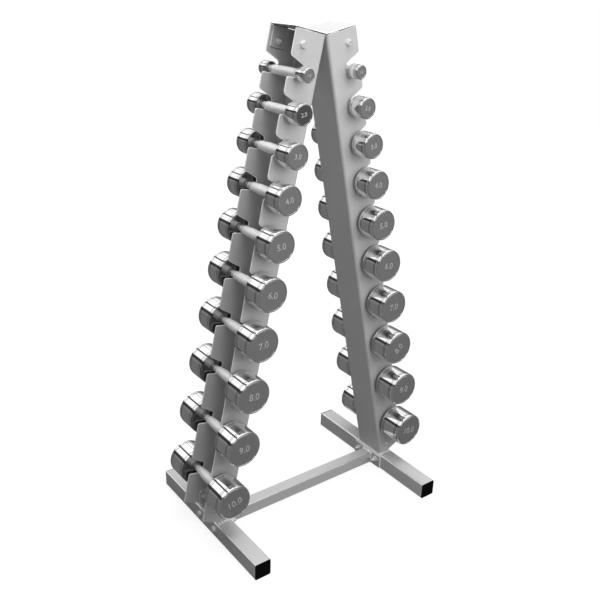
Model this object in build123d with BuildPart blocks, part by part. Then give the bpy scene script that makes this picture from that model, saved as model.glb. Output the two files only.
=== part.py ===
from build123d import *
import os
from math import asin, cos, radians, sin, tan

# An A-frame dumbbell rack: two leaning toothed channels on tube feet, carrying ten
# pairs of round-headed steel dumbbells. Millimetres, Z up, the floor at Z = 0, X along
# the cross beam, Y along the feet and the dumbbells, origin at the middle of the floor.

# Stance
feet_spacing = 628.0

# Feet: square tubes closed by plastic plugs
foot_width = 50.0
foot_length = 516.0
foot_wall = 2.5
foot_corner = 4.0
cap_thickness = 3.0
cap_edge = 1.2
plug_depth = 22.0
plug_wall = 2.5
plug_clearance = 0.1
plug_fin_count = 3
plug_fin_thickness = 1.2

# Cross beam: a smaller square tube with a bolted plate welded to each end
beam_width = 38.0
beam_wall = 2.0
beam_corner = 3.0
beam_lift = 1.5
end_plate_width = 128.0
end_plate_height = 45.0
end_plate_thickness = 4.0
end_plate_corner = 5.0
beam_bolt_spacing = 84.0
beam_bolt_height = 28.0

# Columns: one folded sheet each, web inwards, two toothed flanges outwards
sheet = 3.0
channel_width = 110.0
flange_depth = 95.0
bend_radius = 5.0
web_setback = 5.0
column_gap = 1.0
toe_rise = radians(25.0)
toe_inset = 22.0

# Notches: graded pitch, all of one outline, the lowest heads clear of the feet
first_notch_drop = 103.5
first_pitch = 92.0
pitch_growth = 8.9
lowest_head_room = 62.4
handle_inset = 34.0
notch_room = 22.0
notch_slope = radians(21.5)
notch_corner = 8.0
tooth_corner = 6.0
tooth_heel = 11.0
seat_clearance = 0.3

# Fasteners
bolt_diameter = 10.0
bolt_hole = 11.0
bolt_head_width = 16.0
bolt_head_height = 6.4
nut_height = 8.0
washer_diameter = 20.0
washer_thickness = 2.0
bolt_tip = 10.0
thread_clearance = 0.1

# Brackets that join the columns at the top and hold them on the feet
bracket_sheet = 3.0
bracket_overhang = 1.0
bracket_gap = 1.5
top_bolt_reach = 65.0
top_bolt_drop = 35.0
top_tab_width = 45.0
top_tab_drop = 54.0
foot_bracket_shift = 5.0
foot_bracket_width = 30.0
foot_bolt_rise = 31.0
foot_tab_rise = 50.0
tab_corner = 6.0

# Dumbbells: ten graded sizes, lightest at the top
head_diameters = (37.0, 56.0, 68.0, 80.0, 88.0, 95.0, 99.0, 102.0, 105.0, 105.0)
head_lengths = (34.0, 45.0, 53.0, 55.0, 59.0, 63.0, 66.0, 70.0, 73.0, 77.0)
rim_share = 0.05
rim_base = 1.5
handle_length = 126.0
neck_diameter = 20.0
collar_diameter = 25.0
collar_width = 4.0
grip_length = 90.0
grip_end_diameter = 23.0
light_grip_diameter = 25.0
full_grip_diameter = 28.5
light_grip_count = 2

# Places worked out from the sizes above
foot_x = feet_spacing / 2
foot_inner_x = foot_x - foot_width / 2
foot_outer_x = foot_x + foot_width / 2
half_channel = channel_width / 2
handle_reach = flange_depth - handle_inset
notch_drops = [first_notch_drop]
while len(notch_drops) < len(head_diameters):
    notch_drops.append(notch_drops[-1] + first_pitch + pitch_growth * (len(notch_drops) - 1))
notch_spots = [(handle_reach, -drop) for drop in notch_drops]

# The columns lean from the tops where they meet to the inner edges of the feet
column_length = notch_drops[-1] + head_diameters[-1] / 2 + lowest_head_room
apex_x = column_gap / 2
lean = asin((foot_inner_x + web_setback - apex_x) / column_length)
apex_z = foot_width + column_length * cos(lean)
outward = Vector(cos(lean), 0, sin(lean))
downward = Vector(sin(lean), 0, -cos(lean))
apex = Vector(apex_x, 0, apex_z)

# The right column's side view: x runs out from the web, y runs up along the column
side_view = Plane(origin=apex, x_dir=outward, z_dir=(0, -1, 0))
column_section = Plane(origin=apex, x_dir=outward, z_dir=downward)
near_flange = side_view.offset(half_channel)
near_flange_inside = side_view.offset(half_channel - sheet)
far_flange_inside = side_view.offset(sheet - half_channel)


def in_side_view(x, z):
    """A point of the X-Z plane as (x, y) in the right column's side view."""
    spot = Vector(x, 0, z) - apex
    return spot.dot(outward), -spot.dot(downward)


def on_column(reach, drop, y=0.0):
    """A point of the right column, out from its web and down from its top."""
    spot = apex + outward * reach + downward * drop
    return Vector(spot.X, y, spot.Z)


def mirrored(spot):
    """The same point on the left half of the rack."""
    return Vector(-spot.X, spot.Y, spot.Z)


seat = neck_diameter / 2 + seat_clearance

top_bolt_spot = (top_bolt_reach, -top_bolt_drop)
foot_bracket_x = foot_x + foot_bracket_shift
foot_bolt_spot = in_side_view(foot_bracket_x, foot_width + foot_bolt_rise)

os.makedirs("parts", exist_ok=True)


def write(piece, name):
    """Labels a finished piece and writes its STEP file."""
    piece.part.label = name
    export_step(piece.part, f"parts/{name}.step")


# Notch outline round a handle's axis: a flat seat, a rounded pocket, a sloping roof
mouth = handle_inset + tooth_corner
roof_rise = notch_room + (mouth + seat) * tan(notch_slope)
with BuildSketch() as notch:
    with BuildLine():
        Polyline((mouth, -seat), (-seat, -seat), (-seat, notch_room), (mouth, roof_rise), close=True)
    make_face()
    pocket = notch.vertices().group_by(Axis.X)[0].sort_by(Axis.Y)
    fillet(pocket[0], seat)
    fillet(notch.vertices().group_by(Axis.X)[0].sort_by(Axis.Y)[-1], notch_corner)

# Columns: a folded channel trimmed by its toothed side view
web_foot = in_side_view(foot_inner_x + web_setback, foot_width)
weld_end = in_side_view(foot_outer_x - toe_inset, foot_width)
toe = (flange_depth, weld_end[1] + (flange_depth - weld_end[0]) * tan(toe_rise - lean))
channel_length = -min(web_foot[1], weld_end[1])
with BuildPart() as right_column:
    with BuildSketch(column_section):
        with BuildLine():
            FilletPolyline(
                (flange_depth, -half_channel),
                (0, -half_channel),
                (0, half_channel),
                (flange_depth, half_channel),
                radius=bend_radius + sheet,
            )
            offset(amount=sheet, side=Side.RIGHT)
        make_face()
    extrude(amount=channel_length)
    with BuildSketch(side_view):
        with BuildLine():
            Polyline((0, 0), (flange_depth, 0), toe, weld_end, web_foot, close=True)
        make_face()
        with Locations(*notch_spots):
            add(notch.sketch, mode=Mode.SUBTRACT)
        # Corners of the outer edge from the toe up: by turns a tooth's upper and lower one
        corners = vertices().group_by(Axis.X)[-1].sort_by(Axis.Y)
        fillet(corners[2:-2:2], tooth_heel)
        corners = vertices().group_by(Axis.X)[-1].sort_by(Axis.Y)
        fillet([corners[0], *corners[1:-1:2], corners[-2]], tooth_corner)
        with Locations(top_bolt_spot, foot_bolt_spot):
            Circle(bolt_hole / 2, mode=Mode.SUBTRACT)
    extrude(amount=half_channel, both=True, mode=Mode.INTERSECT)
write(right_column, "right_column")

with BuildPart() as left_column:
    mirror(right_column.part, about=Plane.YZ)
write(left_column, "left_column")

# Top bracket: a plate folded to follow both column tops, with a bolted tab in each flange
fold_z = apex_z - apex_x * tan(lean) + bracket_gap / cos(lean)
wing_reach = flange_depth + bracket_overhang
wing_end = on_column(wing_reach, -bracket_gap)
wing_end_top = on_column(wing_reach, -bracket_gap - bracket_sheet)
with BuildPart() as top_bracket:
    with BuildSketch(Plane.XZ):
        with BuildLine():
            Polyline(
                (0, fold_z),
                (wing_end.X, wing_end.Z),
                (wing_end_top.X, wing_end_top.Z),
                (0, fold_z + bracket_sheet / cos(lean)),
                close=True,
            )
        make_face()
    extrude(amount=half_channel + bracket_overhang, both=True)
    for plane, thickness in ((near_flange_inside, -bracket_sheet), (far_flange_inside, bracket_sheet)):
        with BuildSketch(plane):
            with Locations((top_bolt_reach, bracket_gap)):
                Rectangle(top_tab_width, bracket_gap + top_tab_drop, align=(Align.CENTER, Align.MAX))
            fillet(vertices().group_by(Axis.Y)[0], tab_corner)
            with Locations(top_bolt_spot):
                Circle(bolt_hole / 2, mode=Mode.SUBTRACT)
        extrude(amount=thickness)
    mirror(about=Plane.YZ)
write(top_bracket, "top_bracket")

# Foot brackets: a U of strip welded on each foot, with a bolted tab in each flange
tab_y = half_channel - sheet
with BuildPart() as right_foot_bracket:
    with BuildSketch(Plane.YZ.offset(foot_bracket_x)):
        with Locations((0, foot_width + foot_tab_rise / 2)):
            Rectangle(2 * tab_y, foot_tab_rise)
        with Locations((0, foot_width + bracket_sheet + foot_tab_rise / 2)):
            Rectangle(2 * (tab_y - bracket_sheet), foot_tab_rise, mode=Mode.SUBTRACT)
    extrude(amount=foot_bracket_width / 2, both=True)
    fillet(edges().filter_by(Axis.Y).group_by(Axis.Z)[-1], tab_corner)
    with BuildSketch(Plane.XZ):
        with Locations((foot_bracket_x, foot_width + foot_bolt_rise)):
            Circle(bolt_hole / 2)
    extrude(amount=half_channel, both=True, mode=Mode.SUBTRACT)
write(right_foot_bracket, "right_foot_bracket")

with BuildPart() as left_foot_bracket:
    mirror(right_foot_bracket.part, about=Plane.YZ)
write(left_foot_bracket, "left_foot_bracket")

# Feet, drilled across for the beam bolts
beam_bolt_spots = [(side * beam_bolt_spacing / 2, beam_bolt_height) for side in (-1, 1)]
with BuildPart() as right_foot:
    with BuildSketch(Plane.XZ):
        with Locations((foot_x, foot_width / 2)):
            RectangleRounded(foot_width, foot_width, foot_corner)
            RectangleRounded(
                foot_width - 2 * foot_wall,
                foot_width - 2 * foot_wall,
                foot_corner - foot_wall,
                mode=Mode.SUBTRACT,
            )
    extrude(amount=foot_length / 2, both=True)
    with BuildSketch(Plane.YZ.offset(foot_inner_x)):
        with Locations(*beam_bolt_spots):
            Circle(bolt_hole / 2)
    extrude(amount=foot_width, mode=Mode.SUBTRACT)
write(right_foot, "right_foot")

with BuildPart() as left_foot:
    mirror(right_foot.part, about=Plane.YZ)
write(left_foot, "left_foot")

# End plugs: a flat head over the tube end and a hollow stem with gripping fins inside it
plug_width = foot_width - 2 * (foot_wall + plug_clearance)
stem_width = plug_width - 2 * plug_fin_thickness
fin_pitch = plug_depth / (plug_fin_count + 1)
with BuildPart() as foot_end_caps:
    for side_x in (-1, 1):
        for side_y in (-1, 1):
            tube_end = Plane(
                origin=(side_x * foot_x, side_y * foot_length / 2, foot_width / 2),
                x_dir=(1, 0, 0),
                z_dir=(0, side_y, 0),
            )
            with BuildSketch(tube_end):
                RectangleRounded(foot_width, foot_width, foot_corner)
            extrude(amount=cap_thickness)
            chamfer(faces().sort_by(Axis.Y)[-1 if side_y > 0 else 0].outer_wire().edges(), cap_edge)
            with BuildSketch(tube_end):
                Rectangle(stem_width, stem_width)
                Rectangle(stem_width - 2 * plug_wall, stem_width - 2 * plug_wall, mode=Mode.SUBTRACT)
            extrude(amount=-plug_depth)
            for fin in range(1, plug_fin_count + 1):
                with BuildSketch(tube_end.offset(-fin * fin_pitch)):
                    Rectangle(plug_width, plug_width)
                    chamfer(vertices(), foot_corner - foot_wall)
                    Rectangle(stem_width - 2 * plug_wall, stem_width - 2 * plug_wall, mode=Mode.SUBTRACT)
                extrude(amount=plug_fin_thickness)
write(foot_end_caps, "foot_end_caps")

# Cross beam and the plates at its ends
plate_inner_x = foot_inner_x - end_plate_thickness
with BuildPart() as cross_beam:
    with BuildSketch(Plane.YZ):
        with Locations((0, beam_lift + beam_width / 2)):
            RectangleRounded(beam_width, beam_width, beam_corner)
            RectangleRounded(
                beam_width - 2 * beam_wall,
                beam_width - 2 * beam_wall,
                beam_corner - beam_wall,
                mode=Mode.SUBTRACT,
            )
    extrude(amount=plate_inner_x, both=True)
write(cross_beam, "cross_beam")

with BuildPart() as right_beam_plate:
    with BuildSketch(Plane.YZ.offset(plate_inner_x)):
        with Locations((0, beam_lift + end_plate_height / 2)):
            RectangleRounded(end_plate_width, end_plate_height, end_plate_corner)
        with Locations(*beam_bolt_spots):
            Circle(bolt_hole / 2, mode=Mode.SUBTRACT)
    extrude(amount=end_plate_thickness)
write(right_beam_plate, "right_beam_plate")

with BuildPart() as left_beam_plate:
    mirror(right_beam_plate.part, about=Plane.YZ)
write(left_beam_plate, "left_beam_plate")

# Fastener seats: each plane lies on the face under a bolt's washer and looks outwards,
# with the thickness that the bolt clamps
flange_seats = []
for reach, rise in (top_bolt_spot, foot_bolt_spot):
    spot = on_column(reach, -rise)
    for side_x in (-1, 1):
        for side_y in (-1, 1):
            origin = (side_x * spot.X, side_y * half_channel, spot.Z)
            flange_seats.append(Plane(origin=origin, x_dir=(0, 0, 1), z_dir=(0, side_y, 0)))
beam_seats = []
for side_x in (-1, 1):
    for y, z in beam_bolt_spots:
        origin = (side_x * foot_outer_x, y, z)
        beam_seats.append(Plane(origin=origin, x_dir=(0, 0, 1), z_dir=(side_x, 0, 0)))
flange_grip = sheet + bracket_sheet
beam_grip = foot_width + end_plate_thickness


def make_bolts(seats, grip, name):
    """Hexagon bolts through the washer, the clamped thickness and the nut."""
    shank = washer_thickness + grip + nut_height + bolt_tip
    with BuildPart() as bolts:
        for plane in seats:
            head_seat = plane.offset(washer_thickness)
            with BuildSketch(head_seat):
                RegularPolygon(bolt_head_width / 2, 6, major_radius=False)
            extrude(amount=bolt_head_height)
            with BuildSketch(head_seat):
                Circle(bolt_diameter / 2)
            extrude(amount=-shank)
    write(bolts, name)


def make_washers(seats, name):
    """A flat washer under each bolt head."""
    with BuildPart() as washers:
        for plane in seats:
            with BuildSketch(plane):
                Circle(washer_diameter / 2)
                Circle(bolt_hole / 2, mode=Mode.SUBTRACT)
            extrude(amount=washer_thickness)
    write(washers, name)


def make_nuts(seats, grip, name):
    """A hexagon nut behind each clamped stack."""
    with BuildPart() as nuts:
        for plane in seats:
            with BuildSketch(plane.offset(-grip)):
                RegularPolygon(bolt_head_width / 2, 6, major_radius=False)
                Circle(bolt_diameter / 2 + thread_clearance, mode=Mode.SUBTRACT)
            extrude(amount=-nut_height)
    write(nuts, name)


for seats, grip, place in ((flange_seats, flange_grip, "flange"), (beam_seats, beam_grip, "beam")):
    make_bolts(seats, grip, f"{place}_bolts")
    make_washers(seats, f"{place}_washers")
    make_nuts(seats, grip, f"{place}_nuts")


# Dumbbells: a turned handle with a swelling grip, and two round heads welded to its ends
half_handle = handle_length / 2
half_grip = grip_length / 2
half_collar = half_grip + collar_width


def make_handle(axis_spot, grip_diameter, name):
    """A handle along Y: plain necks in the notches, collars, and a swelling grip."""
    with BuildPart() as handle:
        with BuildSketch(Plane(origin=axis_spot, x_dir=(0, 1, 0), z_dir=(1, 0, 0))):
            with BuildLine():
                Polyline(
                    (-half_grip, grip_end_diameter / 2),
                    (-half_grip, collar_diameter / 2),
                    (-half_collar, collar_diameter / 2),
                    (-half_collar, neck_diameter / 2),
                    (-half_handle, neck_diameter / 2),
                    (-half_handle, 0),
                    (half_handle, 0),
                    (half_handle, neck_diameter / 2),
                    (half_collar, neck_diameter / 2),
                    (half_collar, collar_diameter / 2),
                    (half_grip, collar_diameter / 2),
                    (half_grip, grip_end_diameter / 2),
                )
                ThreePointArc(
                    (half_grip, grip_end_diameter / 2),
                    (0, grip_diameter / 2),
                    (-half_grip, grip_end_diameter / 2),
                )
            make_face()
        revolve(axis=Axis(axis_spot, (0, 1, 0)))
    write(handle, name)


def make_heads(axis_spot, head_diameter, head_length, name):
    """The pair of heads at the handle's ends, with broken rims."""
    with BuildPart() as heads:
        for side_y in (-1, 1):
            inner_end = axis_spot + Vector(0, side_y * half_handle, 0)
            with BuildSketch(Plane(inner_end, z_dir=(0, side_y, 0))):
                Circle(head_diameter / 2)
            extrude(amount=head_length)
        chamfer(edges().filter_by(GeomType.CIRCLE), rim_base + rim_share * head_diameter)
    write(heads, name)


sizes = zip(head_diameters, head_lengths, notch_drops)
for size, (head_diameter, head_length, drop) in enumerate(sizes, start=1):
    grip_diameter = light_grip_diameter if size <= light_grip_count else full_grip_diameter
    right_spot = on_column(handle_reach, drop)
    for side, spot in (("left", mirrored(right_spot)), ("right", right_spot)):
        make_handle(spot, grip_diameter, f"{side}_dumbbell_{size:02d}_handle")
        make_heads(spot, head_diameter, head_length, f"{side}_dumbbell_{size:02d}_heads")
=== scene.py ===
import math

import bmesh
import bpy
from mathutils import Matrix, Vector


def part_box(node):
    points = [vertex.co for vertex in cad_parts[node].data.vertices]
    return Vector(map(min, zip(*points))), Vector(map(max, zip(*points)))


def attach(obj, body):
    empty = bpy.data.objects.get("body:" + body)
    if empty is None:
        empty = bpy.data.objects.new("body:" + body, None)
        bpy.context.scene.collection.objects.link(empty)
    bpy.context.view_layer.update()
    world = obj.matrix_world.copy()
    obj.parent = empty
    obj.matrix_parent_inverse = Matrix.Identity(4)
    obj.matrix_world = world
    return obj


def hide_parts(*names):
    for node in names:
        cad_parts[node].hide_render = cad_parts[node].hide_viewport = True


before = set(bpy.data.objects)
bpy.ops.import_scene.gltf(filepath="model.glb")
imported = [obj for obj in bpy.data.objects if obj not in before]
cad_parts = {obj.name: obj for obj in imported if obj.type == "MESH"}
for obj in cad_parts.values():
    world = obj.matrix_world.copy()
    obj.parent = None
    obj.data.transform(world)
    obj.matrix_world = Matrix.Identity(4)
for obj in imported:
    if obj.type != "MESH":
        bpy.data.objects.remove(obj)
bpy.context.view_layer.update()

# Metres, Z up, the floor at Z = 0, the dumbbells and the feet along Y.
sizes = range(1, 11)  # lightest pair at the top
sides = ("left", "right")


# Small tools

merging = {"cad": 1e-6, "made": 1e-7}  # points nearer than this are one, in CAD copies and in new meshes


def newObject(name, data):
    made = bpy.data.objects.new(name, data)
    bpy.context.scene.collection.objects.link(made)
    return made


def plainMesh(holder):
    # the shape that a holder shows, as a mesh without modifiers, and the holder taken away
    ready = holder.evaluated_get(bpy.context.evaluated_depsgraph_get())
    mesh = bpy.data.meshes.new_from_object(ready)
    bpy.data.objects.remove(holder)
    return mesh


def wire(tree, kind, inputs=None, **settings):
    # adds one node to a shader or geometry tree, with its sockets set or linked by name or number
    node = tree.nodes.new(kind)
    for key, value in settings.items():
        setattr(node, key, value)
    for key, value in (inputs or {}).items():
        if isinstance(value, bpy.types.NodeSocket):
            tree.links.new(value, node.inputs[key])
        else:
            node.inputs[key].default_value = value
    return node


def sums(tree, operation, first, second=0.0):
    # one math node
    return wire(tree, "ShaderNodeMath", {0: first, 1: second}, operation=operation).outputs[0]


def newTree(name, kind, inputs, outputs):
    # a node group with named sockets, its input node and its output node
    tree = bpy.data.node_groups.new(name, kind)
    for label, socket, value in inputs:
        made = tree.interface.new_socket(label, in_out="INPUT", socket_type=socket)
        if value is not None:
            made.default_value = value
    for label, socket in outputs:
        tree.interface.new_socket(label, in_out="OUTPUT", socket_type=socket)
    return tree, tree.nodes.new("NodeGroupInput").outputs, tree.nodes.new("NodeGroupOutput").inputs


def runTree(name, tree, values, start=None):
    # evaluates a geometry tree on a start mesh and gives back a plain mesh
    holder = newObject(name, start or bpy.data.meshes.new(name))
    modifier = holder.modifiers.new(name, "NODES")
    modifier.node_group = tree
    sockets = {item.name: item.identifier for item in tree.interface.items_tree if item.in_out == "INPUT"}
    for label, value in values.items():
        modifier[sockets[label]] = value
    holder.update_tag()
    return plainMesh(holder)


def endTree(tree, given, out, shape):
    # a geometry tree's last steps: instances made real and given their finish
    real = wire(tree, "GeometryNodeRealizeInstances", {0: shape})
    coated = wire(tree, "GeometryNodeSetMaterial", {"Geometry": real.outputs[0], "Material": given["Finish"]})
    tree.links.new(coated.outputs[0], out["Geometry"])
    return tree


def smoothed(mesh, angle):
    # smooth shading, kept sharp over an angle in degrees
    mesh.shade_smooth()
    mesh.set_sharp_from_angle(angle=math.radians(angle))


def addPiece(name, mesh, body, slot, *nodes):
    # a finished piece at the origin, riding on its body in place of its CAD nodes
    piece = newObject(name, mesh)
    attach(piece, body)
    if nodes:
        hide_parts(*nodes)


def solidsOf(node):
    # the points of each separate solid in a CAD node
    work = bmesh.new()
    work.from_mesh(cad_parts[node].data)
    bmesh.ops.remove_doubles(work, verts=work.verts, dist=merging["cad"])
    solids, seen = [], set()
    for first in work.verts:
        if first in seen:
            continue
        seen.add(first)
        group = [first]
        for vert in group:
            for edge in vert.link_edges:
                other = edge.other_vert(vert)
                if other not in seen:
                    seen.add(other)
                    group.append(other)
        solids.append([vert.co.copy() for vert in group])
    work.free()
    return solids


def bend(centre, radius, start, end, steps):
    # points of a round corner in a turned profile, angles in degrees
    turns = [math.radians(start + (end - start) * step / steps) for step in range(steps + 1)]
    return [(centre[0] + radius * math.cos(turn), centre[1] + radius * math.sin(turn)) for turn in turns]


def turned(work, profile, spot, segments, slots, flip=False):
    # spins (along, radius) points round the Y axis through spot, closing the ends on the axis
    rings = []
    for along, radius in profile:
        along = -along if flip else along
        if radius < merging["made"]:
            rings.append([work.verts.new(spot + Vector((0, along, 0)))])
            continue
        steps = [2 * math.pi * step / segments for step in range(segments)]
        rings.append([
            work.verts.new(spot + Vector((radius * math.cos(a), along, radius * math.sin(a)))) for a in steps
        ])
    for index in range(len(rings) - 1):
        low, high = rings[index], rings[index + 1]
        for step in range(segments):
            after = (step + 1) % segments
            around = ((low, step), (low, after), (high, after), (high, step))
            corners = list(dict.fromkeys(ring[place % len(ring)] for ring, place in around))
            if len(corners) < 3:
                continue
            face = work.faces.new(corners if flip else corners[::-1])
            face.smooth = True
            face.material_index = slots[index]


# Shader groups shared by several finishes

noiseMiddle = 0.5  # the mean of a noise texture
handlingLook = {"stretch": (1.0, 0.12, 1.0), "level": 0.75, "crisp": 3.0}  # rubs run along Y


def makeSpeckle():
    # fine two-scale grain: a shade to tint with, and a height for the bump
    tree, given, out = newTree(
        "speckle", "ShaderNodeTree",
        [("Scale", "NodeSocketFloat", 900.0), ("Coarse Scale", "NodeSocketFloat", 60.0),
         ("Contrast", "NodeSocketFloat", 0.2), ("Coarse Contrast", "NodeSocketFloat", 0.1)],
        [("Shade", "NodeSocketFloat"), ("Height", "NodeSocketFloat")],
    )
    place = wire(tree, "ShaderNodeTexCoord").outputs["Object"]
    fine = wire(tree, "ShaderNodeTexNoise", {"Vector": place, "Scale": given["Scale"], "Detail": 2.0,
                                             "Roughness": 0.65}).outputs[0]
    coarse = wire(tree, "ShaderNodeTexNoise", {"Vector": place, "Scale": given["Coarse Scale"],
                                               "Detail": 3.0}).outputs[0]
    fineShift, coarseShift = (
        sums(tree, "MULTIPLY", sums(tree, "SUBTRACT", noise, noiseMiddle), given[contrast])
        for noise, contrast in ((fine, "Contrast"), (coarse, "Coarse Contrast")))
    shade = sums(tree, "ADD", sums(tree, "ADD", fineShift, coarseShift), 1.0)
    tree.links.new(shade, out["Shade"])
    tree.links.new(fine, out["Height"])
    return tree


def makeHandling():
    # smudges and rub marks from hands and racking: a mask from 0 to 1
    tree, given, out = newTree(
        "handling", "ShaderNodeTree",
        [("Patch Scale", "NodeSocketFloat", 30.0), ("Rub Scale", "NodeSocketFloat", 140.0),
         ("Cover", "NodeSocketFloat", 0.5)],
        [("Mask", "NodeSocketFloat")],
    )
    place = wire(tree, "ShaderNodeTexCoord").outputs["Object"]
    patch = wire(tree, "ShaderNodeTexNoise", {"Vector": place, "Scale": given["Patch Scale"],
                                              "Detail": 4.0, "Distortion": 0.6}).outputs[0]
    stretched = wire(tree, "ShaderNodeMapping", {"Vector": place, "Scale": handlingLook["stretch"]})
    rub = wire(tree, "ShaderNodeTexNoise", {"Vector": stretched.outputs[0], "Scale": given["Rub Scale"],
                                            "Detail": 2.0}).outputs[0]
    both = sums(tree, "MULTIPLY", patch, sums(tree, "ADD", rub, noiseMiddle))
    raised = sums(tree, "SUBTRACT", both, sums(tree, "SUBTRACT", handlingLook["level"], given["Cover"]))
    mask = wire(tree, "ShaderNodeClamp", {0: sums(tree, "MULTIPLY", raised, handlingLook["crisp"])})
    tree.links.new(mask.outputs[0], out["Mask"])
    return tree


speckleGroup = makeSpeckle()
handlingGroup = makeHandling()


# Finishes

# Each has a colour, how far it is metal, a grain (its scale, the scale of its clouds, and how much each
# shades), smudges where hands or tools reach it (scales of patches and rubs, and cover), the roughness that
# these run between, and a bump (strength and depth)
paintLook = {"colour": (0.56, 0.56, 0.565), "metal": 0.25, "specular": 0.4,
             "grain": (640.0, 9.0, 0.34, 0.07), "rough": (0.52, 0.40), "bump": (0.35, 0.0002)}
highlightEdgeLook = {**paintLook, "colour": (0.95, 0.95, 0.95)}  # painted highlight: brighter paint on cut edges, rounded edges and weld beads, standing in for the highlights they catch
highlightCornerLook = {**highlightEdgeLook, "metal": 0.95, "rough": (0.18, 0.06)}  # painted highlight: bright, glossy metal on the upper corners of tubes
gapShadowLook = {**paintLook, "colour": (0.04, 0.04, 0.04)}  # painted shadow: near-black paint for the shade in the gap under the top bracket
chromeLook = {"colour": (0.93, 0.93, 0.94), "metal": 1.0, "grain": (700.0, 45.0, 0.03, 0.05),
              "smudge": (26.0, 120.0, 0.42), "rough": (0.03, 0.07)}
paintedShadeLook = {**chromeLook, "colour": (0.32, 0.32, 0.322)}  # painted shade: darker chrome on inner faces, inner rims and in the turned lines
neckLook = {**chromeLook, "metal": 0.35}  # less metal, so a diffuse white stands in for the bright reflection along the necks: painted reflection
satinLook = {"colour": (0.2, 0.2, 0.202), "metal": 0.3, "grain": (760.0, 40.0, 0.35, 0.12),
             "smudge": (34.0, 150.0, 0.4), "rough": (0.42, 0.34), "bump": (0.25, 0.00015)}  # blasted ends
# painted reflection: near-black ends stand in for the dark reflection in a polished face
darkReflectionLook = {**satinLook, "colour": (0.08, 0.08, 0.081), "rough": (0.2, 0.12)}
markLook = {"colour": (0.62, 0.62, 0.62), "metal": 0.5, "grain": (900.0, 120.0, 0.2, 0.25),
            "rough": (0.2, 0.38)}  # raised figures, polished where they stand proud
knurlLook = {"colour": (0.98, 0.98, 0.98), "metal": 0.35, "grain": (1100.0, 70.0, 0.18, 0.14),
             "smudge": (50.0, 180.0, 0.5), "rough": (0.45, 0.6)}
zincLook = {"colour": (0.86, 0.86, 0.85), "metal": 0.55, "grain": (800.0, 160.0, 0.15, 0.3),
            "smudge": (110.0, 400.0, 0.5), "rough": (0.12, 0.26), "bump": (0.15, 0.0001)}
plasticLook = {"colour": (0.003, 0.003, 0.003), "metal": 0.0, "specular": 0.05,
               "grain": (1400.0, 90.0, 0.5, 0.3), "rough": (0.6, 0.8), "bump": (0.3, 0.0002)}

grainInputs = ("Scale", "Coarse Scale", "Contrast", "Coarse Contrast")
smudgeInputs = ("Patch Scale", "Rub Scale", "Cover")


def useGroup(tree, group, labels, values):
    # places a shared group with a material's own values
    node = wire(tree, "ShaderNodeGroup", node_tree=group)
    for label, value in zip(labels, values):
        node.inputs[label].default_value = value
    return node.outputs


def makeFinish(name, look):
    # the grain tints the colour and lifts the bump, and smudges, or else the grain, change the roughness
    material = bpy.data.materials.new(name)
    material.use_nodes = True
    tree = material.node_tree
    shader = tree.nodes["Principled BSDF"].inputs
    shader["Metallic"].default_value = look["metal"]
    if "specular" in look:
        shader["Specular IOR Level"].default_value = look["specular"]
    grain = useGroup(tree, speckleGroup, grainInputs, look["grain"])
    tinted = wire(tree, "ShaderNodeVectorMath", {
        0: look["colour"], "Scale": grain["Shade"]}, operation="SCALE")
    tree.links.new(tinted.outputs[0], shader["Base Color"])
    wear = grain["Height"]
    if "smudge" in look:
        wear = useGroup(tree, handlingGroup, smudgeInputs, look["smudge"])["Mask"]
    roughFrom, roughTo = look["rough"]
    rough = wire(tree, "ShaderNodeMapRange", {"Value": wear, "To Min": roughFrom, "To Max": roughTo})
    tree.links.new(rough.outputs[0], shader["Roughness"])
    if "bump" in look:
        strength, depth = look["bump"]
        bump = wire(tree, "ShaderNodeBump", {
            "Height": grain["Height"], "Strength": strength, "Distance": depth})
        tree.links.new(bump.outputs[0], shader["Normal"])
    return material


silverPaint = makeFinish("silverPowderCoat", paintLook)
paintedHighlightEdge = makeFinish("silverPowderCoatPaintedHighlight", highlightEdgeLook)
paintedHighlightCorner = makeFinish("silverPowderCoatCornerHighlight", highlightCornerLook)
# near-black paint for the shade in the gap under the top bracket: painted shadow
paintedGapShadow = makeFinish("silverPowderCoatPaintedShadow", gapShadowLook)
chrome = makeFinish("mirrorChrome", chromeLook)
paintedShadeChrome = makeFinish("paintedShadeChrome", paintedShadeLook)
neckChrome = makeFinish("neckChrome", neckLook)
satinFace = makeFinish("satinFace", satinLook)
paintedReflectionFace = makeFinish("paintedReflectionPolishedFace", darkReflectionLook)
polishedMark = makeFinish("polishedFigure", markLook)
knurlSteel = makeFinish("knurledSteel", knurlLook)
zincPlate = makeFinish("zincPlate", zincLook)
blackPlastic = makeFinish("blackPlastic", plasticLook)
print("finishes ready")


# Painted sheet and tube pieces: the CAD shapes with their coated edges rounded over

# for each node the rounding of its edges, and the widest strip that is a cut edge
coatedEdges = {
    "left_column": (0.0010, 0.0035), "right_column": (0.0010, 0.0035), "top_bracket": (0.0013, 0.0035),
    "left_foot_bracket": (0.0008, 0.0035), "right_foot_bracket": (0.0008, 0.0035),
    "left_foot": (0.0004, 0.0), "right_foot": (0.0004, 0.0), "cross_beam": (0.0004, 0.0),
    "left_beam_plate": (0.0010, 0.0045), "right_beam_plate": (0.0010, 0.0045), "foot_end_caps": (0.0005, 0.0),
}
coatLook = {
    "sharpAngle": 50,  # degrees, edges sharper than this are rounded
    "flatAngle": 0.4,  # degrees, faces that meet flatter than this are joined
    "steps": 2,  # faces across a rounded edge
    "longestCut": 0.3,  # longer strips are folds, not cut edges
    "inFlange": 0.9,  # faces that look more along Y than this lie in a flange
    "cornerTilt": 0.3,  # how far a tube's corner faces look up and out
    "topTilt": 0.9,  # how far the painted shadow under the top bracket comes down from the column tops
    "shadowDepth": 0.0012,  # how far the dark seam comes down from the column tops
    "shadowTilt": (-0.95, -0.2),  # how far the bracket's lower edges, which get the painted shadow, look down
}
sharpAngle = math.radians(coatLook["sharpAngle"])
# slots of the painted highlight and the painted shadow
highlightSlot, shadowSlot = 1, 2


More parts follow.
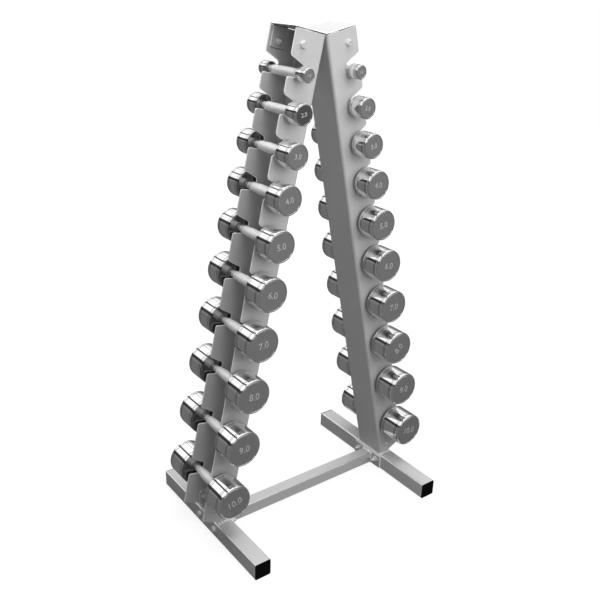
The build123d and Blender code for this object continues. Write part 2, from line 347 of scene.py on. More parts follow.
def isPaintedHighlight(face, cutWidth):
    # the cut edges of sheet, or the upper corners of a tube, which has no cut width: the faces that get a
    # painted highlight
    if cutWidth:
        sharp = [edge for edge in face.edges if edge.calc_face_angle(0.0) > sharpAngle]
        longest = max(face.edges, key=lambda edge: edge.calc_length())
        length = longest.calc_length()
        isCut = longest in sharp or (len(sharp) > 1 and abs(face.normal.y) < coatLook["inFlange"])
        return isCut and length < coatLook["longestCut"] and face.calc_area() / length < cutWidth
    return min(face.normal.z, face.normal.xy.length) > coatLook["cornerTilt"]


def markEdges(work, cutWidth):
    # finds the faces that get the painted highlight, and gives the sharp edges their bevel weight
    weights = work.edges.layers.float.new("bevel_weight_edge")
    for face in work.faces:
        face.material_index = highlightSlot if isPaintedHighlight(face, cutWidth) else 0
    for edge in work.edges:
        if len(edge.link_faces) == 2 and edge.calc_face_angle() > sharpAngle:
            edge[weights] = 1.0


def paintGapShadow(mesh, node):
    # painted shadow in the gap under the top bracket: on its lower edges, and on the square-cut tops of the
    # columns
    tops = [face for face in mesh.polygons if face.normal.z > coatLook["topTilt"]]
    top = max(tops, key=lambda face: face.center.z)
    plane, facing = top.center.copy(), top.normal.copy()
    lowest, highest = coatLook["shadowTilt"]
    for face in mesh.polygons:
        if node == "top_bracket":
            inShadow = lowest < face.normal.z < highest
        else:
            inShadow = (face.center - plane).dot(facing) > -coatLook["shadowDepth"]
        if inShadow:
            face.material_index = shadowSlot


def roundedCopy(node, edge, cutWidth, materials):
    # merges a copy of the node's mesh, joins its flat faces and rounds its sharp edges
    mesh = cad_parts[node].data.copy()
    mesh.materials.clear()
    for material in materials:
        mesh.materials.append(material)
    work = bmesh.new()
    work.from_mesh(mesh)
    bmesh.ops.remove_doubles(work, verts=work.verts, dist=merging["cad"])
    flatAngle = math.radians(coatLook["flatAngle"])
    bmesh.ops.dissolve_limit(work, angle_limit=flatAngle, verts=work.verts, edges=work.edges)
    work.normal_update()
    markEdges(work, cutWidth)
    work.to_mesh(mesh)
    work.free()
    holder = newObject("holder", mesh)
    rounding = holder.modifiers.new("coatedEdge", "BEVEL")
    rounding.width = edge
    rounding.segments = coatLook["steps"]
    rounding.limit_method = "WEIGHT"
    rounding.use_clamp_overlap = False
    # the faces that the rounding makes get the painted highlight
    rounding.material = highlightSlot
    smoothed(mesh, coatLook["sharpAngle"])
    evening = holder.modifiers.new("evenShade", "WEIGHTED_NORMAL")
    evening.keep_sharp = True
    return plainMesh(holder)


for node, (edge, cutWidth) in coatedEdges.items():
    isCap = node == "foot_end_caps"
    # painted highlight: brighter paint on cut edges, or bright glossy metal on the upper tube corners
    highlightFinish = paintedHighlightEdge if cutWidth else paintedHighlightCorner
    finishes = (blackPlastic, blackPlastic) if isCap else (silverPaint, highlightFinish, paintedGapShadow)
    slot = "black_plastic" if isCap else "silver_paint"
    mesh = roundedCopy(node, edge, cutWidth, finishes)
    # the gap under the top bracket gets its painted shadow
    if node == "top_bracket" or node.endswith("column"):
        paintGapShadow(mesh, node)
    addPiece(node + "_finished", mesh, "rack", slot, node)
print("painted frame ready")


# Fasteners, grown by geometry nodes on the places of the CAD solids

fastenerLook = {"across": 0.016, "headHeight": 0.0064, "bolt": 0.010, "length": 0.02, "pitch": 0.0015,
                "threadShown": 0.012, "threadDepth": 0.0006, "threadRidge": 0.00055, "nutHeight": 0.008,
                "washer": 0.020, "hole": 0.011, "washerThickness": 0.002, "washerEdge": 0.0005,
                "chamferFrom": 0.47, "chamferFall": 0.0618,  # shares of the width across flats
                "hexSteps": 48, "hexRings": 5, "shankSteps": 24, "helixSteps": 20, "ridgeSteps": 3,
                "washerSteps": 40, "edgeSteps": 2, "hexSmooth": 20, "washerSmooth": 35, "seed": 7}


def hexagon(tree, across, height):
    # a round blank drawn in to a hexagon, its top corners cut by the turned chamfer of real heads and nuts
    rings = fastenerLook["hexRings"]
    blank = wire(tree, "GeometryNodeMeshCylinder", {
        "Vertices": fastenerLook["hexSteps"], "Side Segments": rings, "Radius": 1.0, "Depth": 1.0})
    point = wire(tree, "GeometryNodeInputPosition").outputs[0]
    x, y, z = wire(tree, "ShaderNodeSeparateXYZ", {0: point}).outputs
    turn = sums(tree, "ARCTAN2", y, x)
    fromFlat = sums(tree, "SUBTRACT", sums(tree, "FLOORED_MODULO", turn, math.pi / 3), math.pi / 6)
    flat = sums(tree, "DIVIDE", sums(tree, "MULTIPLY", across, 0.5), sums(tree, "COSINE", fromFlat))
    ring = sums(tree, "MULTIPLY", sums(tree, "SUBTRACT", 0.5, z), rings)  # 0 at the top, the last at the seat
    share = sums(tree, "DIVIDE", ring, rings - 1)
    chamfer = sums(tree, "MULTIPLY", sums(tree, "MULTIPLY", across, fastenerLook["chamferFall"]), share)
    aboveSeat = sums(tree, "LESS_THAN", ring, rings - 0.5)
    level = sums(tree, "MULTIPLY", sums(tree, "SUBTRACT", height, chamfer), aboveSeat)
    fall = sums(tree, "MULTIPLY", sums(tree, "SUBTRACT", height, level), math.sqrt(3))
    limit = sums(tree, "ADD", sums(tree, "MULTIPLY", across, fastenerLook["chamferFrom"]), fall)
    radius = sums(tree, "MINIMUM", flat, limit)
    place = wire(tree, "ShaderNodeCombineXYZ", {
        0: sums(tree, "MULTIPLY", radius, sums(tree, "COSINE", turn)),
        1: sums(tree, "MULTIPLY", radius, sums(tree, "SINE", turn)), 2: level})
    return wire(tree, "GeometryNodeSetPosition", {
        "Geometry": blank.outputs["Mesh"], "Position": place.outputs[0]}).outputs[0]


def standOnSeats(tree, given, out, shape):
    # one shape on every seat, turned to its aim and by a random turn of the spanner
    aim = wire(tree, "GeometryNodeInputNamedAttribute", {"Name": "aim"}, data_type="FLOAT_VECTOR").outputs[0]
    facing = wire(tree, "FunctionNodeAlignRotationToVector", {"Vector": aim}, axis="Z").outputs[0]
    chance = wire(tree, "FunctionNodeRandomValue", {"Seed": given["Seed"]}, data_type="FLOAT")
    twist = wire(tree, "ShaderNodeCombineXYZ", {2: sums(tree, "MULTIPLY", chance.outputs[1], math.pi / 3)})
    turn = wire(tree, "FunctionNodeRotateRotation", {0: facing, 1: twist.outputs[0]}, rotation_space="LOCAL")
    stand = wire(tree, "GeometryNodeInstanceOnPoints", {
        "Points": given["Seats"], "Instance": shape, "Rotation": turn.outputs[0]})
    return endTree(tree, given, out, stand.outputs[0])


seatSockets = [("Seats", "NodeSocketGeometry", None), ("Finish", "NodeSocketMaterial", None),
               ("Seed", "NodeSocketInt", fastenerLook["seed"])]


def makeBoltTree():
    tree, given, out = newTree("hexBolts", "GeometryNodeTree", seatSockets + [
        ("Across Flats", "NodeSocketFloat", fastenerLook["across"]),
        ("Head Height", "NodeSocketFloat", fastenerLook["headHeight"]),
        ("Diameter", "NodeSocketFloat", fastenerLook["bolt"]),
        ("Length", "NodeSocketFloat", fastenerLook["length"]),
        ("Thread Pitch", "NodeSocketFloat", fastenerLook["pitch"]),
        ("Thread Shown", "NodeSocketFloat", fastenerLook["threadShown"]),
    ], [("Geometry", "NodeSocketGeometry")])
    head = hexagon(tree, given["Across Flats"], given["Head Height"])
    core = sums(tree, "SUBTRACT", sums(tree, "DIVIDE", given["Diameter"], 2.0), fastenerLook["threadDepth"])
    shank = wire(tree, "GeometryNodeMeshCylinder", {
        "Vertices": fastenerLook["shankSteps"], "Radius": core, "Depth": given["Length"]})
    shankPlace = wire(tree, "ShaderNodeCombineXYZ", {2: sums(tree, "DIVIDE", given["Length"], -2.0)})
    lowered = wire(tree, "GeometryNodeTransform", {
        "Geometry": shank.outputs["Mesh"], "Translation": shankPlace.outputs[0]})
    helix = wire(tree, "GeometryNodeCurveSpiral", {
        "Resolution": fastenerLook["helixSteps"], "Start Radius": core, "End Radius": core,
        "Rotations": sums(tree, "DIVIDE", given["Thread Shown"], given["Thread Pitch"]),
        "Height": given["Thread Shown"]})
    ridge = wire(tree, "GeometryNodeCurvePrimitiveCircle", {
        "Resolution": fastenerLook["ridgeSteps"], "Radius": fastenerLook["threadRidge"]})
    thread = wire(tree, "GeometryNodeCurveToMesh", {
        "Curve": helix.outputs["Curve"], "Profile Curve": ridge.outputs["Curve"], "Fill Caps": True})
    threadPlace = wire(tree, "ShaderNodeCombineXYZ", {2: sums(tree, "MULTIPLY", given["Length"], -1.0)})
    wound = wire(tree, "GeometryNodeTransform", {
        "Geometry": thread.outputs[0], "Translation": threadPlace.outputs[0]})
    whole = wire(tree, "GeometryNodeJoinGeometry")
    for part in (wound.outputs[0], lowered.outputs[0], head):
        tree.links.new(part, whole.inputs[0])
    return standOnSeats(tree, given, out, whole.outputs[0])


def makeNutTree():
    tree, given, out = newTree("hexNuts", "GeometryNodeTree", seatSockets + [
        ("Across Flats", "NodeSocketFloat", fastenerLook["across"]),
        ("Height", "NodeSocketFloat", fastenerLook["nutHeight"]),
    ], [("Geometry", "NodeSocketGeometry")])
    return standOnSeats(tree, given, out, hexagon(tree, given["Across Flats"], given["Height"]))


def makeWasherTree():
    tree, given, out = newTree("flatWashers", "GeometryNodeTree", seatSockets + [
        ("Diameter", "NodeSocketFloat", fastenerLook["washer"]),
        ("Hole", "NodeSocketFloat", fastenerLook["hole"]),
        ("Thickness", "NodeSocketFloat", fastenerLook["washerThickness"]),
    ], [("Geometry", "NodeSocketGeometry")])
    middle = sums(tree, "DIVIDE", sums(tree, "ADD", given["Diameter"], given["Hole"]), 4.0)
    width = sums(tree, "DIVIDE", sums(tree, "SUBTRACT", given["Diameter"], given["Hole"]), 2.0)
    circle = wire(tree, "GeometryNodeCurvePrimitiveCircle", {
        "Resolution": fastenerLook["washerSteps"], "Radius": middle})
    strip = wire(tree, "GeometryNodeCurvePrimitiveQuadrilateral", {
        "Width": width, "Height": given["Thickness"]})
    soft = wire(tree, "GeometryNodeFilletCurve", {
        "Curve": strip.outputs[0], "Radius": fastenerLook["washerEdge"], "Count": fastenerLook["edgeSteps"]},
        mode="POLY")
    ring = wire(tree, "GeometryNodeCurveToMesh", {
        "Curve": circle.outputs["Curve"], "Profile Curve": soft.outputs[0]})
    lift = wire(tree, "ShaderNodeCombineXYZ", {2: sums(tree, "DIVIDE", given["Thickness"], 2.0)})
    lifted = wire(tree, "GeometryNodeTransform", {
        "Geometry": ring.outputs[0], "Translation": lift.outputs[0]})
    return standOnSeats(tree, given, out, lifted.outputs[0])


def seatMesh(places):
    # one point for each fastener, carrying the way that it faces
    mesh = bpy.data.meshes.new("seats")
    mesh.from_pydata([place for place, aim in places], [], [])
    aims = mesh.attributes.new("aim", "FLOAT_VECTOR", "POINT")
    aims.data.foreach_set("vector", [value for place, aim in places for value in aim])
    return mesh


def outwardSeats(node, along, fromEnd):
    # for each solid, the point on its axis fromEnd short of its outer end, and the outward way
    places = []
    for points in solidsOf(node):
        middle = sum(points, Vector()) / len(points)
        aim = along * math.copysign(1, middle.dot(along))
        end = max(point.dot(aim) for point in points)
        low = Vector([min(point[axis] for point in points) for axis in range(3)])
        high = Vector([max(point[axis] for point in points) for axis in range(3)])
        centre = (low + high) / 2
        places.append((centre + aim * (end - fromEnd - centre.dot(aim)), aim))
    return places


def spanOf(node, along):
    # the length of a node's first solid
    points = solidsOf(node)[0]
    reach = [point.dot(along) for point in points]
    return max(reach) - min(reach)


boltTree = makeBoltTree()
nutTree = makeNutTree()
washerTree = makeWasherTree()
for place, along in (("flange", Vector((0, 1, 0))), ("beam", Vector((1, 0, 0)))):
    bolts, nuts, washers = f"{place}_bolts", f"{place}_nuts", f"{place}_washers"
    head = fastenerLook["headHeight"]
    boltMesh = runTree(bolts, boltTree, {"Finish": zincPlate, "Length": spanOf(bolts, along) - head},
                       seatMesh(outwardSeats(bolts, along, head)))
    smoothed(boltMesh, fastenerLook["hexSmooth"])
    addPiece(bolts + "_threaded", boltMesh, "rack", "zinc_steel", bolts)
    nutSeats = [(spot, -aim) for spot, aim in outwardSeats(nuts, along, 0)]
    nutMesh = runTree(nuts, nutTree, {"Finish": zincPlate}, seatMesh(nutSeats))
    smoothed(nutMesh, fastenerLook["hexSmooth"])
    addPiece(nuts + "_chamfered", nutMesh, "rack", "zinc_steel", nuts)
    washerSeats = outwardSeats(washers, along, fastenerLook["washerThickness"])
    washerMesh = runTree(washers, washerTree, {"Finish": zincPlate}, seatMesh(washerSeats))
    smoothed(washerMesh, fastenerLook["washerSmooth"])
    addPiece(washers + "_rounded", washerMesh, "rack", "zinc_steel", washers)
print("fasteners ready")


# Weld beads, in the brighter edge paint: a painted highlight

weldLook = {"size": 0.0040, "along": 0.95, "step": 0.0078, "uneven": 0.4, "roundness": 2, "smooth": 60,
            "startInset": 0.006, "endInset": 0.010, "beamInset": 0.003, "seed": 11}


def makeWeldTree():
    tree, given, out = newTree("weldBeads", "GeometryNodeTree", [
        ("Runs", "NodeSocketGeometry", None), ("Finish", "NodeSocketMaterial", None),
        ("Bead Size", "NodeSocketFloat", weldLook["size"]), ("Step", "NodeSocketFloat", weldLook["step"]),
        ("Uneven", "NodeSocketFloat", weldLook["uneven"]), ("Seed", "NodeSocketInt", weldLook["seed"]),
    ], [("Geometry", "NodeSocketGeometry")])
    runs = wire(tree, "GeometryNodeMeshToCurve", {0: given["Runs"]}).outputs[0]
    beads = wire(tree, "GeometryNodeResampleCurve", {"Curve": runs, "Length": given["Step"]}, mode="LENGTH")
    lump = wire(tree, "GeometryNodeMeshIcoSphere", {
        "Radius": given["Bead Size"], "Subdivisions": weldLook["roundness"]})
    low = sums(tree, "SUBTRACT", 1.0, given["Uneven"])
    high = sums(tree, "ADD", 1.0, given["Uneven"])
    chance = wire(tree, "FunctionNodeRandomValue", {
        2: low, 3: high, "Seed": given["Seed"]}, data_type="FLOAT")
    tangent = wire(tree, "GeometryNodeInputTangent").outputs[0]
    facing = wire(tree, "FunctionNodeAlignRotationToVector", {"Vector": tangent}, axis="X").outputs[0]
    size = wire(tree, "ShaderNodeCombineXYZ", {
        0: weldLook["along"], 1: chance.outputs[1], 2: chance.outputs[1]})
    stand = wire(tree, "GeometryNodeInstanceOnPoints", {
        "Points": beads.outputs[0], "Instance": lump.outputs["Mesh"], "Rotation": facing,
        "Scale": size.outputs[0]})
    return endTree(tree, given, out, stand.outputs[0])


def runsMesh(runs):
    # one edge for each weld
    mesh = bpy.data.meshes.new("runs")
    points = [point for run in runs for point in run]
    mesh.from_pydata(points, [(index, index + 1) for index in range(0, len(points), 2)], [])
    return mesh


def weldRuns():
    # along the foot of each flange, and round three sides of each beam end
    runs = []
    for side in sides:
        columnLow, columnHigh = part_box(side + "_column")
        footLow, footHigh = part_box(side + "_foot")
        out = 1 if side == "right" else -1
        inner = min(abs(footLow.x), abs(footHigh.x)) + weldLook["startInset"]
        outer = max(abs(footLow.x), abs(footHigh.x)) - weldLook["endInset"]
        for y in (columnLow.y, columnHigh.y):
            runs.append([(out * inner, y, footHigh.z), (out * outer, y, footHigh.z)])
    beamLow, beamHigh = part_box("cross_beam")
    inset = weldLook["beamInset"]
    for x in (beamLow.x, beamHigh.x):
        runs.append([(x, beamLow.y + inset, beamHigh.z), (x, beamHigh.y - inset, beamHigh.z)])
        for y in (beamLow.y, beamHigh.y):
            runs.append([(x, y, beamLow.z + inset), (x, y, beamHigh.z - inset)])
    return runs


# the beads take the painted highlight of the edge paint
weldMesh = runTree("welds", makeWeldTree(), {"Finish": paintedHighlightEdge}, runsMesh(weldRuns()))
smoothed(weldMesh, weldLook["smooth"])
addPiece("weld_beads", weldMesh, "rack", "silver_paint")
print("welds ready")


# Dumbbells: turned chrome heads with satin ends and raised figures, and knurled handles

# a handle's radii, and its lengths along Y
handleLook = {"neck": 0.010, "collar": 0.0125, "collarWidth": 0.004, "grip": 0.090, "gripEnd": 0.0115,
              "lightGrip": 0.0125, "fullGrip": 0.01425, "lightSizes": 2,
              "knurlStep": 0.0013, "knurlAround": 80, "knurlDepth": 0.00025, "knurlSeam": 0.00001,
              "soft": 0.0008, "softSteps": 3, "segments": 64, "smooth": 32}
# a head's rims as shares of its diameter or of each other, and the pair of fine turned lines near each rim
headLook = {"rimShare": 0.045, "rimBase": 0.0012, "innerRim": 0.8, "groove": 0.0005,
            "lineInset": 0.07, "linePair": 0.0048, "lineWidth": 0.0020, "lineDepth": 0.0007,
            "segments": 96, "innerSteps": 6, "rimSteps": 8, "smooth": 20}
# raised numbers: their share of a head's diameter, the text size that gives it, and how they stand out
figureLook = {"share": 0.19, "scale": 1.4, "height": 0.0004, "bevel": 0.0002, "steps": 3}
# degrees that the figures are turned, from the lightest size
figureTurn = {"left": (0, 8, -6, 10, 4, -12, 6, -4, 0, 14), "right": (6, -10, 12, -4, 8, -6, 4, 40, -2, -8)}
reflectionFaces = {("left", 2)}  # the dumbbells whose polished ends get the near-black painted reflection


def makeKnurlTree():
    # a swelling tube whose points rise and fall by turns, which gives crossed knurling
    steps = 2 * int(handleLook["grip"] / handleLook["knurlStep"] / 2)
    tree, given, out = newTree("knurledGrip", "GeometryNodeTree", [
        ("Finish", "NodeSocketMaterial", None), ("Length", "NodeSocketFloat", handleLook["grip"]),
        ("End Radius", "NodeSocketFloat", handleLook["gripEnd"]),
        ("Middle Radius", "NodeSocketFloat", handleLook["fullGrip"]),
        ("Steps Along", "NodeSocketInt", steps), ("Steps Around", "NodeSocketInt", handleLook["knurlAround"]),
        ("Depth", "NodeSocketFloat", handleLook["knurlDepth"]),
    ], [("Geometry", "NodeSocketGeometry")])
    rows = sums(tree, "ADD", given["Steps Along"], 1.0)
    columns = sums(tree, "ADD", given["Steps Around"], 1.0)
    grid = wire(tree, "GeometryNodeMeshGrid", {"Vertices X": rows, "Vertices Y": columns})
    index = wire(tree, "GeometryNodeInputIndex").outputs[0]
    row = sums(tree, "FLOOR", sums(tree, "DIVIDE", sums(tree, "ADD", index, 0.5), columns))
    column = sums(tree, "SUBTRACT", index, sums(tree, "MULTIPLY", row, columns))
    share = sums(tree, "SUBTRACT", sums(tree, "DIVIDE", row, given["Steps Along"]), 0.5)
    turn = sums(tree, "DIVIDE", sums(tree, "MULTIPLY", column, 2 * math.pi), given["Steps Around"])
    swell = sums(tree, "SUBTRACT", 1.0, sums(tree, "MULTIPLY", sums(tree, "MULTIPLY", share, share), 4.0))
    rise = sums(tree, "SUBTRACT", given["Middle Radius"], given["End Radius"])
    smooth = sums(tree, "ADD", given["End Radius"], sums(tree, "MULTIPLY", rise, swell))
    parity = sums(tree, "MODULO", sums(tree, "ADD", row, column), 2.0)
    tooth = sums(tree, "MULTIPLY", sums(tree, "GREATER_THAN", parity, 0.5), given["Depth"])
    radius = sums(tree, "SUBTRACT", smooth, tooth)
    place = wire(tree, "ShaderNodeCombineXYZ", {
        0: sums(tree, "MULTIPLY", radius, sums(tree, "COSINE", turn)),
        1: sums(tree, "MULTIPLY", share, given["Length"]),
        2: sums(tree, "MULTIPLY", radius, sums(tree, "SINE", turn))})
    wrapped = wire(tree, "GeometryNodeSetPosition", {
        "Geometry": grid.outputs["Mesh"], "Position": place.outputs[0]})
    closed = wire(tree, "GeometryNodeMergeByDistance", {
        "Geometry": wrapped.outputs[0], "Distance": handleLook["knurlSeam"]})
    return endTree(tree, given, out, closed.outputs[0])


knurlTree = makeKnurlTree()
grips = {radius: runTree("grip", knurlTree, {"Finish": knurlSteel, "Middle Radius": radius})
         for radius in (handleLook["lightGrip"], handleLook["fullGrip"])}


neckSlot, knurlSlot = range(2)


def makeHandle(side, size):
    # necks and collars turned in one, with the knurled grip over the middle
    node = f"{side}_dumbbell_{size:02d}_handle"
    low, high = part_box(node)
    spot = (low + high) / 2
    half = (high.y - low.y) / 2
    grip = handleLook["grip"] / 2
    collarEnd = grip + handleLook["collarWidth"]
    neck, collar = handleLook["neck"], handleLook["collar"]
    soft, steps = handleLook["soft"], handleLook["softSteps"]
    core = handleLook["gripEnd"] - 2 * handleLook["knurlDepth"]
    oneEnd = [(half, 0.0), (half, neck), (collarEnd, neck)]
    oneEnd += bend((collarEnd - soft, collar - soft), soft, 0, 90, steps)
    oneEnd += bend((grip + soft, collar - soft), soft, 90, 180, steps)
    oneEnd += [(grip, core)]
    profile = oneEnd + [(-along, radius) for along, radius in reversed(oneEnd)]
    work = bmesh.new()
    gripRadius = handleLook["lightGrip"] if size <= handleLook["lightSizes"] else handleLook["fullGrip"]
    knurl = grips[gripRadius].copy()
    knurl.transform(Matrix.Translation(spot))
    work.from_mesh(knurl)
    bmesh.ops.holes_fill(work, edges=work.edges)  # closes both ends of the grip
    for face in work.faces:
        face.material_index = knurlSlot
        face.smooth = False
    turned(work, profile, spot, handleLook["segments"], [neckSlot] * len(profile))
    bmesh.ops.remove_doubles(work, verts=work.verts, dist=merging["made"])
    bmesh.ops.recalc_face_normals(work, faces=work.faces)
    mesh = bpy.data.meshes.new(node)
    work.to_mesh(mesh)
    work.free()
    # the necks carry the painted reflection
    for material in (neckChrome, knurlSteel):
        mesh.materials.append(material)
    mesh.set_sharp_from_angle(angle=math.radians(handleLook["smooth"]))
    addPiece(node + "_knurled", mesh, f"{side}_dumbbell_{size:02d}", "knurled_steel", node)


def figureMesh(words, height):
    # a raised number, centred on the origin and facing +Z
    text = bpy.data.curves.new("figure", "FONT")
    text.body = words
    text.size = height * figureLook["scale"]
    text.align_x, text.align_y = "CENTER", "CENTER"
    text.extrude = figureLook["height"]
    text.bevel_depth = figureLook["bevel"]
    text.bevel_resolution = 0
    text.resolution_u = figureLook["steps"]
    return plainMesh(newObject("figure", text))


sideSlot, endSlot, figureSlot, shadeSlot = range(4)


def makeHeads(side, size):
    # both heads in one profile: inner face, rim, two pairs of turned lines, outer rim, groove, end
    node = f"{side}_dumbbell_{size:02d}_heads"
    low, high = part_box(node)
    spot = (low + high) / 2
    outer = (high.y - low.y) / 2
    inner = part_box(node.replace("heads", "handle"))[1].y - spot.y
    radius = (high.x - low.x) / 2
    rim = headLook["rimBase"] + headLook["rimShare"] * 2 * radius
    innerRim = rim * headLook["innerRim"]
    groove, innerSteps = headLook["groove"], headLook["innerSteps"]
    profile = [(inner, 0.0), (inner, radius - innerRim)]
    profile += bend((inner + innerRim, radius - innerRim), innerRim, 180, 90, innerSteps)[1:]
    inset = innerRim + headLook["lineInset"] * (outer - inner)
    half, pair = headLook["lineWidth"] / 2, headLook["linePair"]
    grooved = []
    for line in (inner + inset, inner + inset + pair, outer - inset - pair, outer - inset):
        grooved += [len(profile), len(profile) + 1]
        profile += [(line - half, radius), (line, radius - headLook["lineDepth"]), (line + half, radius)]
    profile += bend((outer - rim, radius - rim), rim, 90, 0, headLook["rimSteps"])
    faceFrom = len(profile)
    profile += [(outer - groove, radius - rim - groove), (outer, radius - rim - 2 * groove), (outer, 0.0)]
    # the inner face and inner rim get the painted shade
    slots = [shadeSlot] * (innerSteps + 1) + [sideSlot] * (faceFrom - innerSteps)
    slots += [endSlot] * (len(profile) - faceFrom)
    # the turned lines get the painted shade too
    for index in grooved:
        slots[index] = shadeSlot
    work = bmesh.new()
    for flip in (False, True):
        turned(work, profile, spot, headLook["segments"], slots, flip)
    figures = figureMesh(f"{size}.0", 2 * radius * figureLook["share"])
    tilt = Matrix.Rotation(math.radians(figureTurn[side][size - 1]), 4, "Z")
    for aim in (-1, 1):
        facing = Matrix.Rotation(math.radians(90), 4, "X")
        if aim > 0:
            facing = Matrix.Rotation(math.pi, 4, "Z") @ facing
        copy = figures.copy()
        copy.transform(Matrix.Translation(spot + Vector((0, aim * outer, 0))) @ facing @ tilt)
        first = len(work.faces)
        work.from_mesh(copy)
        work.faces.ensure_lookup_table()
        for face in work.faces[first:]:
            face.material_index = figureSlot
            face.smooth = False
    bmesh.ops.remove_doubles(work, verts=work.verts, dist=merging["made"])
    mesh = bpy.data.meshes.new(node)
    work.to_mesh(mesh)
    work.free()
    # these ends carry the painted reflection
    ends = paintedReflectionFace if (side, size) in reflectionFaces else satinFace
    for material in (chrome, ends, polishedMark, paintedShadeChrome):
        mesh.materials.append(material)
    mesh.set_sharp_from_angle(angle=math.radians(headLook["smooth"]))
    addPiece(node + "_turned", mesh, f"{side}_dumbbell_{size:02d}", "chromed_steel", node)


for side in sides:
    for size in sizes:
        makeHandle(side, size)
        makeHeads(side, size)
print("dumbbells ready")


# Studio: a pale floor, soft boxes and a white surround

studio = {"floorHalf": 400.0, "floorColour": 0.24, "floorSeen": (0.86, 0.99), "floorFade": (0.9, 3.0),
          "floorDull": 0.35, "floorInMetal": 0.15, "ambient": 0.08}
# the lit wall that the metal shows, in panels with dark seams: degrees up from +X over the top, and level
panels = ((0, 0.14), (15, 0.16), (30, 0.5), (48, 1.1), (56, 1.1), (58, 0.3), (60, 0.3), (62, 1.2), (101, 1.2),
          (104, 0.03), (111, 0.03), (114, 1.2), (144, 1.1), (150, 0.04), (163, 0.03), (168, 0.2), (180, 0.2))
# each lamp's place, the point that it is aimed at, width, height and watts
softBoxes = {
    "overhead": ((0.1, -0.2, 4.2), (0.0, 0.0, 0.6), 3.0, 3.0, 160.0),
    "frontRight": ((0.6, -2.0, 1.9), (0.0, 0.0, 1.4), 2.2, 2.0, 27.0),
    "frontLeft": ((-0.45, -2.0, 1.9), (0.0, 0.0, 1.4), 2.2, 2.0, 29.0),
    "backLeft": ((-2.4, 3.6, 3.6), (0.0, 0.0, 0.7), 2.0, 2.4, 42.0),
    "backRight": ((0.9, 3.6, 3.9), (0.0, 0.0, 0.7), 2.6, 2.0, 40.0),
}


def rays(tree):
    # the light path's outputs, and 1 for what metal or glass shows
    ray = wire(tree, "ShaderNodeLightPath").outputs
    return ray, sums(tree, "MAXIMUM", ray["Is Glossy Ray"], ray["Is Transmission Ray"])


def makeFloor():
    # pale to the camera, darker to the metal, and dull enough to keep a faint shadow
    mesh = bpy.data.meshes.new("floor")
    half = studio["floorHalf"]
    corners = [(-half, -half, 0), (half, -half, 0), (half, half, 0), (-half, half, 0)]
    mesh.from_pydata(corners, [], [(0, 1, 2, 3)])
    floor = newObject("floor", mesh)
    material = bpy.data.materials.new("paleFloor")
    material.use_nodes = True
    tree = material.node_tree
    tree.nodes.clear()
    ray, inMetal = rays(tree)
    spot = wire(tree, "ShaderNodeTexCoord").outputs["Object"]
    away = wire(tree, "ShaderNodeVectorMath", {0: spot}, operation="LENGTH").outputs["Value"]
    (fadeFrom, fadeTo), (near, far) = studio["floorFade"], studio["floorSeen"]
    pale = wire(tree, "ShaderNodeMapRange", {0: away, 1: fadeFrom, 2: fadeTo, 3: near, 4: far}).outputs[0]
    seen = sums(tree, "ADD", sums(tree, "MULTIPLY", ray["Is Camera Ray"], pale),
                sums(tree, "MULTIPLY", inMetal, studio["floorInMetal"]))
    dull = sums(tree, "ADD", sums(tree, "MULTIPLY", ray["Is Camera Ray"], studio["floorDull"]), inMetal)
    colour = sums(tree, "MULTIPLY", sums(tree, "SUBTRACT", 1.0, dull), studio["floorColour"])
    lit = wire(tree, "ShaderNodeBsdfDiffuse", {"Color": wire(tree, "ShaderNodeCombineColor", {
        0: colour, 1: colour, 2: colour}).outputs[0]})
    glow = wire(tree, "ShaderNodeEmission", {"Strength": seen})
    both = wire(tree, "ShaderNodeAddShader", {0: lit.outputs[0], 1: glow.outputs[0]})
    wire(tree, "ShaderNodeOutputMaterial", {"Surface": both.outputs[0]})
    mesh.materials.append(material)


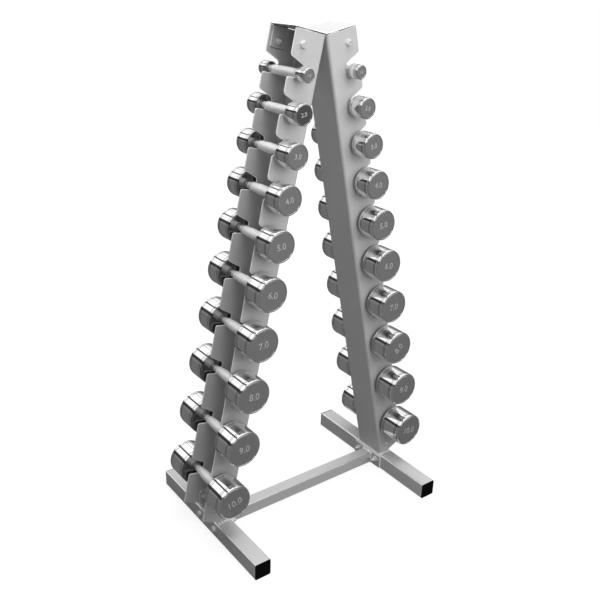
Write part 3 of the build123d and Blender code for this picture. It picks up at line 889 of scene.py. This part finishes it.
def makeSurround():
    # white to the camera, the panelled wall to the metal, a low fill to the paint
    world = bpy.data.worlds.new("studioSurround")
    bpy.context.scene.world = world
    world.use_nodes = True
    tree = world.node_tree
    tree.nodes.clear()
    ray, inMetal = rays(tree)
    way = wire(tree, "ShaderNodeTexCoord").outputs["Generated"]
    split = wire(tree, "ShaderNodeSeparateXYZ", {0: way}).outputs
    overTop = sums(tree, "ARCTAN2", split["Z"], split["X"])
    ramp = wire(tree, "ShaderNodeValToRGB", {0: sums(tree, "DIVIDE", overTop, math.pi)})
    stops = ramp.color_ramp.elements
    stops.remove(stops[1])
    for index, (degrees, level) in enumerate(panels):
        stop = stops.new(degrees / 180) if index else stops[0]
        stop.position, stop.color = degrees / 180, (level, level, level, 1)
    metal, fill, white = (
        wire(tree, "ShaderNodeBackground", {"Color": (1, 1, 1, 1), "Strength": strength}).outputs[0]
        for strength in (ramp.outputs[0], studio["ambient"], 1.0))
    lit = wire(tree, "ShaderNodeMixShader", {0: inMetal, 1: fill, 2: metal})
    seen = wire(tree, "ShaderNodeMixShader", {0: ray["Is Camera Ray"], 1: lit.outputs[0], 2: white})
    wire(tree, "ShaderNodeOutputWorld", {"Surface": seen.outputs[0]})


def addSoftBox(name, place, aim, width, height, watts):
    lamp = bpy.data.lights.new(name, "AREA")
    lamp.shape = "RECTANGLE"
    lamp.size, lamp.size_y, lamp.energy = width, height, watts
    box = newObject(name, lamp)
    box.location = place
    box.rotation_euler = (Vector(aim) - Vector(place)).to_track_quat("-Z", "Y").to_euler()
    box.visible_camera = False
    box.visible_glossy = False  # the metal shows the panelled wall instead


makeFloor()
makeSurround()
for name, values in softBoxes.items():
    addSoftBox(name, *values)


# Camera at the photograph's viewing angle

view = {"eye": (-1.2395, -1.6214, 1.5264), "heading": 36.991, "down": 23.052, "roll": 1.595,
        "fieldOfView": 42.51}  # metres and degrees


def makeCamera():
    heading, down, roll = (math.radians(view[key]) for key in ("heading", "down", "roll"))
    ahead = math.cos(down)
    forward = Vector((math.sin(heading) * ahead, math.cos(heading) * ahead, -math.sin(down)))
    level = forward.cross(Vector((0, 0, 1))).normalized()
    upright = level.cross(forward)
    across = level * math.cos(roll) + upright * math.sin(roll)
    up = upright * math.cos(roll) - level * math.sin(roll)
    lens = bpy.data.cameras.new("studioCamera")
    lens.sensor_fit = "HORIZONTAL"
    lens.angle = math.radians(view["fieldOfView"])
    camera = newObject("studioCamera", lens)
    turn = Matrix((across, up, -forward)).transposed().to_4x4()
    camera.matrix_world = Matrix.Translation(Vector(view["eye"])) @ turn
    bpy.context.scene.camera = camera


makeCamera()
bpy.context.scene.view_settings.view_transform = "Standard"
print("studio ready")
